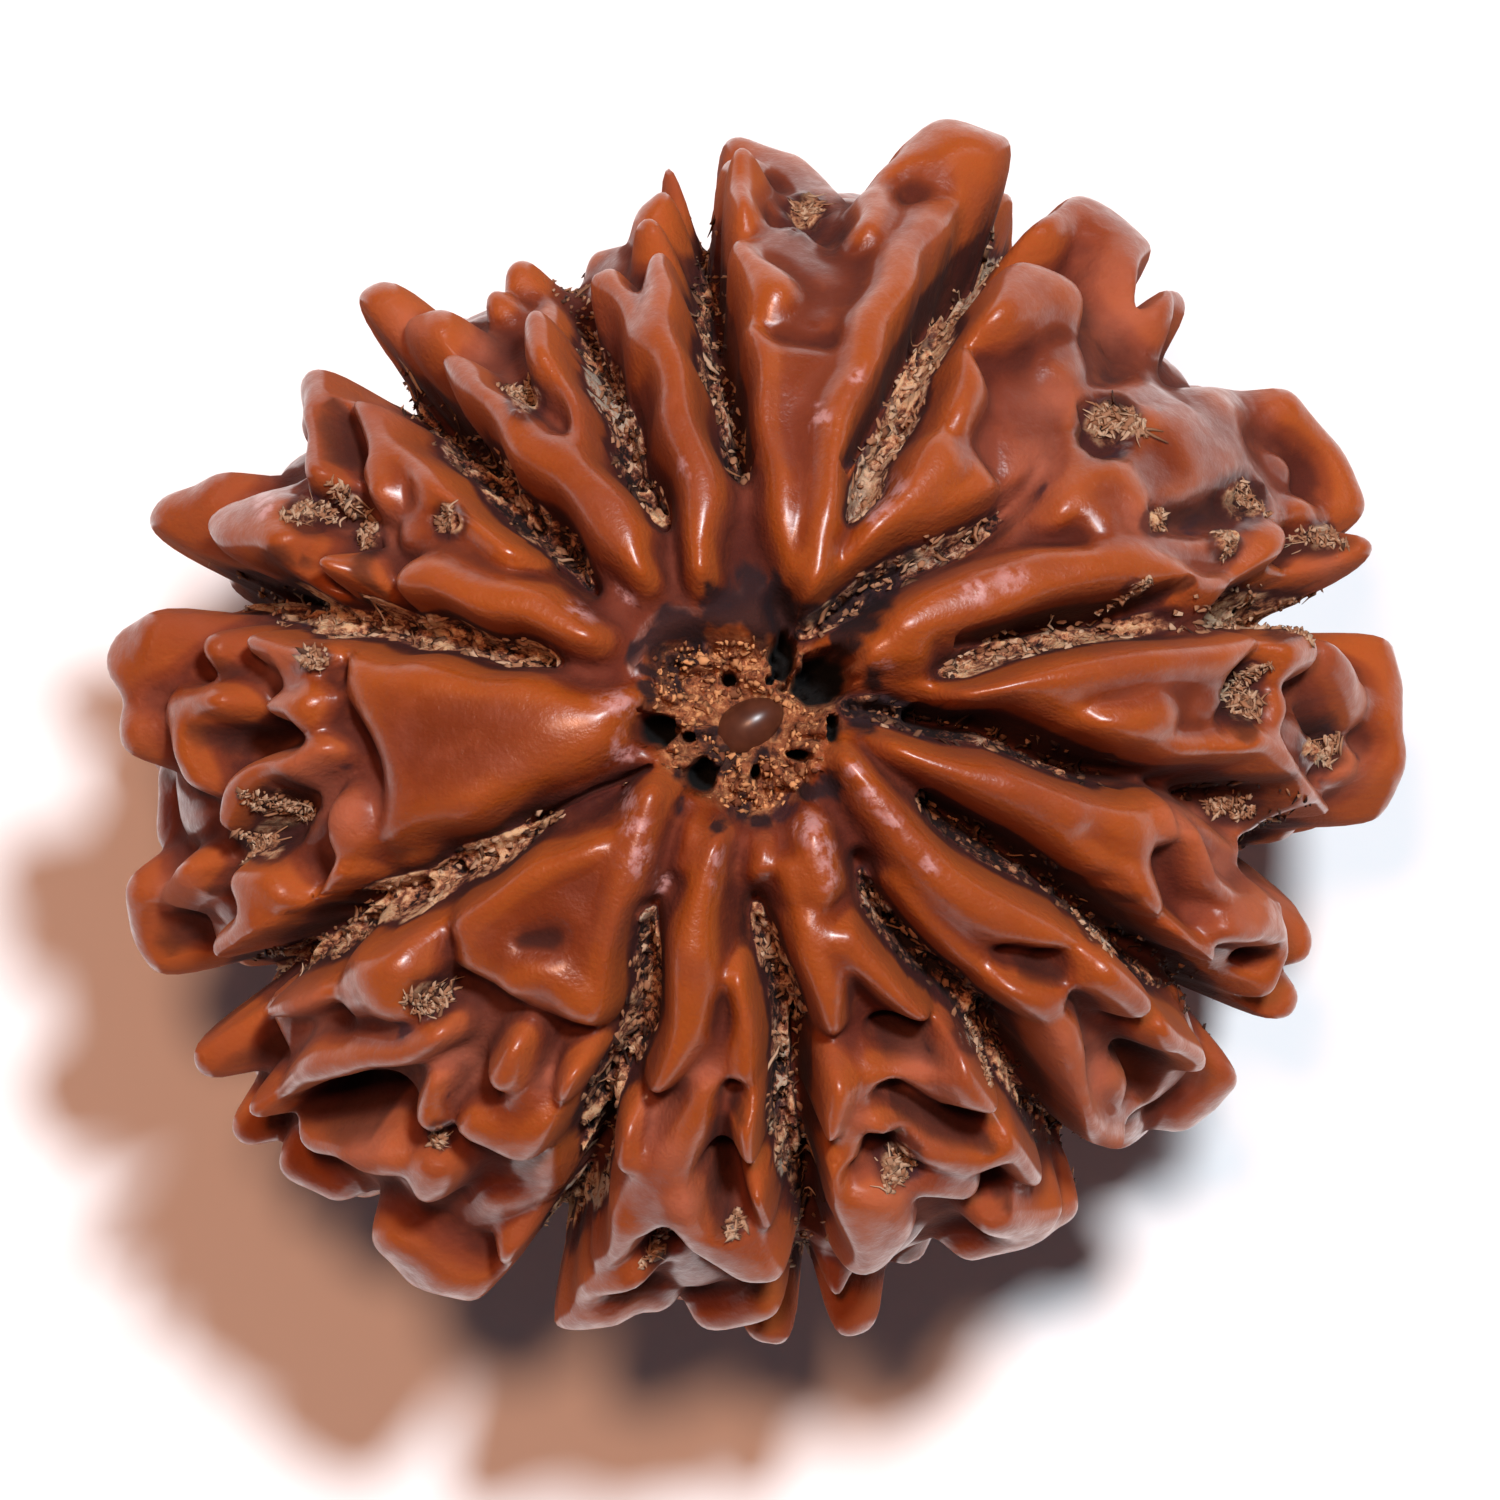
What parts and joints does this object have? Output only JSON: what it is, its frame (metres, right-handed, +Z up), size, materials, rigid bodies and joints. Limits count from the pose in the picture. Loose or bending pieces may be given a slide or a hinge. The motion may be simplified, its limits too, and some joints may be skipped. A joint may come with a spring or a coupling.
{
  "type": "rudraksha bead",
  "caption": "Whole undrilled rudraksha stone, a squat round seed body with many knobbly lobes parted by deep fibre-lined grooves that run from end to end.",
  "frame": {"origin": "on the surface it lies on, under the middle of its bounding box", "axes": "+Z up along the stone's own axis, towards the end with the open hollow that the picture shows; +X along its widest reach"},
  "size_m": [0.026, 0.0244, 0.0212],
  "materials": {
    "stone": "waxy brown, smooth on the ridges and dull in the pits"
  },
  "bodies": {
    "root": {"bead": "stone"}
  },
  "joints": []
}
